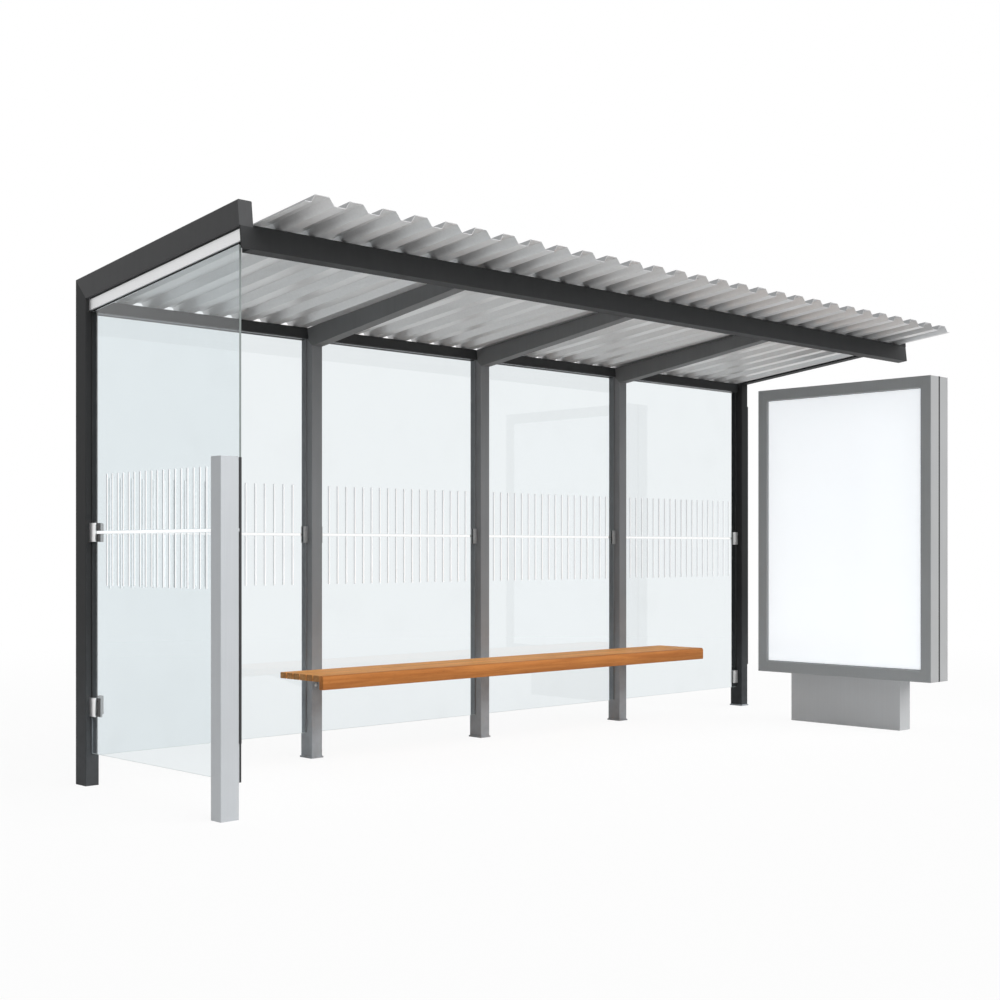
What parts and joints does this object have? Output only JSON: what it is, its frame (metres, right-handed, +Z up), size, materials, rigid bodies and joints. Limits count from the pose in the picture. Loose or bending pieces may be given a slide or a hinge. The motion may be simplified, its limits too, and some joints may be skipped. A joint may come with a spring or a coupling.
{
  "type": "bus shelter",
  "caption": "Open-fronted bus shelter: ribbed roof falling to the back on steel posts, glazed back and left side, slatted wooden bench and a poster light case at the right end.",
  "frame": {"origin": "middle of the whole shelter's box, on the ground", "axes": "+X along the shelter to the right as seen from the open front, +Y to the glazed back, +Z up"},
  "size_m": [5.358, 1.9294, 2.5985],
  "materials": {
    "anthracite": "satin powder coat",
    "mid_grey": "satin powder coat",
    "roof_sheet": "light grey coil coating",
    "glass": "clear toughened",
    "satin_aluminium": "satin anodised",
    "clamp_steel": "brushed",
    "bench_wood": "oiled hardwood",
    "bracket_steel": "satin grey",
    "case_silver": "satin silver",
    "poster_white": "glossy pane over a blank white poster"
  },
  "bodies": {
    "root": {"left_rear_post": "anthracite", "right_rear_post": "anthracite", "middle_post_1": "mid_grey", "middle_post_2": "mid_grey", "middle_post_3": "mid_grey", "base_plates": "mid_grey", "left_roof_beam": "anthracite", "right_roof_beam": "anthracite", "roof_arm_1": "mid_grey", "roof_arm_2": "mid_grey", "roof_arm_3": "mid_grey", "front_beam": "anthracite", "rear_beam_1": "anthracite", "rear_beam_2": "anthracite", "rear_beam_3": "anthracite", "rear_beam_4": "anthracite", "roof_sheet": "roof_sheet", "side_upper_glass": "glass", "side_lower_glass": "glass", "side_glass_channel": "satin_aluminium", "corner_post": "satin_aluminium", "glazing_bar": "anthracite", "rear_upper_glass_1": "glass", "rear_upper_glass_2": "glass", "rear_upper_glass_3": "glass", "rear_upper_glass_4": "glass", "rear_lower_glass_1": "glass", "rear_lower_glass_2": "glass", "rear_lower_glass_3": "glass", "rear_lower_glass_4": "glass", "rear_glass_clamps": "clamp_steel", "side_glass_clamps": "clamp_steel", "seat_slat_1": "bench_wood", "seat_slat_2": "bench_wood", "seat_slat_3": "bench_wood", "seat_slat_4": "bench_wood", "seat_slat_5": "bench_wood", "seat_slat_6": "bench_wood", "bench_front_board": "bench_wood", "bench_brackets": "bracket_steel", "case_core": "anthracite", "case_left_door": "case_silver", "case_right_door": "case_silver", "left_poster_pane": "poster_white", "right_poster_pane": "poster_white", "case_pedestal": "case_silver"}
  },
  "joints": []
}
